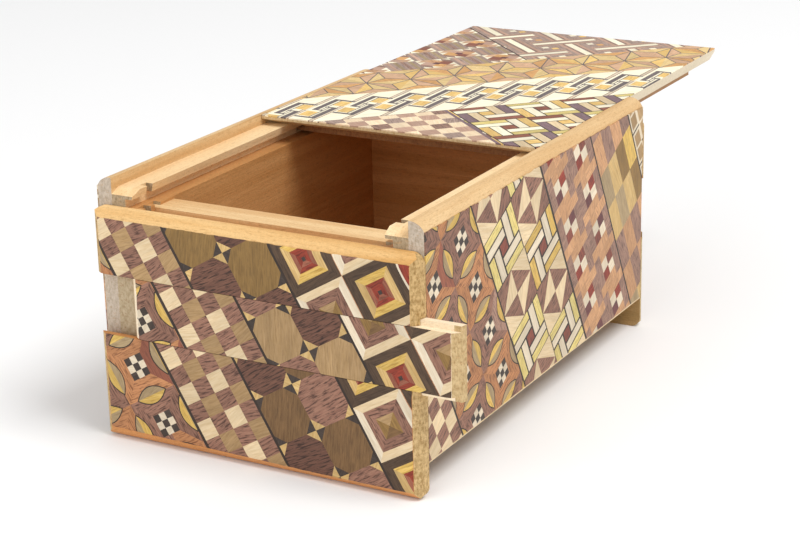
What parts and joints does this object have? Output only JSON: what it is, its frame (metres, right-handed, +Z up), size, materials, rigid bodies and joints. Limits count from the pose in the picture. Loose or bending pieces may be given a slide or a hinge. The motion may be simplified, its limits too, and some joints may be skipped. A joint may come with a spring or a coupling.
{
  "type": "wooden puzzle box",
  "caption": "Opened wooden secret box with marquetry faces: end panels drop, keys slide in them, and the lid draws back on undercut rails.",
  "frame": {"origin": "on the surface it stands on, under the middle of the opened box's bounding box", "axes": "+X across the near end towards the right side, +Y from the near end to the far end, the way the lid draws back, +Z up"},
  "size_m": [0.1336, 0.2362, 0.0802],
  "materials": {
    "bare_wood": "waxed, fine straight grain",
    "inner_wood": "unfinished",
    "panel_wood": "waxed, end grain at the ends",
    "marquetry": "lacquered parquetry"
  },
  "bodies": {
    "carcase": {"side_board_left": "bare_wood", "side_board_right": "bare_wood", "side_veneer_left": "marquetry", "side_veneer_right": "marquetry", "lid_rail_left": "bare_wood", "lid_rail_right": "bare_wood", "inner_side_left": "inner_wood", "inner_side_right": "inner_wood", "end_wall_near": "inner_wood", "end_wall_far": "inner_wood", "base_board": "inner_wood", "base_veneer": "marquetry", "floor_board": "inner_wood"},
    "near_panel": {"near_upper_strip": "panel_wood", "near_lower_strip": "panel_wood", "near_slider": "inner_wood", "near_upper_veneer": "marquetry", "near_lower_veneer": "marquetry"},
    "near_key": {"near_key": "bare_wood", "near_key_veneer": "marquetry", "near_key_peg": "inner_wood"},
    "far_panel": {"far_upper_strip": "panel_wood", "far_lower_strip": "panel_wood", "far_slider": "inner_wood", "far_upper_veneer": "marquetry", "far_lower_veneer": "marquetry"},
    "far_key": {"far_key": "bare_wood", "far_key_veneer": "marquetry", "far_key_peg": "inner_wood"},
    "lid": {"lid_plate": "bare_wood", "lid_veneer": "marquetry", "lid_core": "bare_wood", "lid_runner": "inner_wood"}
  },
  "joints": [
    {"name": "near_panel_drop", "type": "slide", "parent": "carcase", "child": "near_panel", "axis": [0, 0, 1], "range_m": [0, 0.0094]},
    {"name": "near_key_slide", "type": "slide", "parent": "near_panel", "child": "near_key", "axis": [1, 0, 0], "range_m": [-0.0123, 0]},
    {"name": "far_panel_drop", "type": "slide", "parent": "carcase", "child": "far_panel", "axis": [0, 0, 1], "range_m": [0, 0.0005]},
    {"name": "far_key_slide", "type": "slide", "parent": "far_panel", "child": "far_key", "axis": [1, 0, 0], "range_m": [0, 0.0123]},
    {"name": "lid_slide", "type": "slide", "parent": "carcase", "child": "lid", "axis": [0, 1, 0], "range_m": [-0.0805, 0.045]}
  ]
}
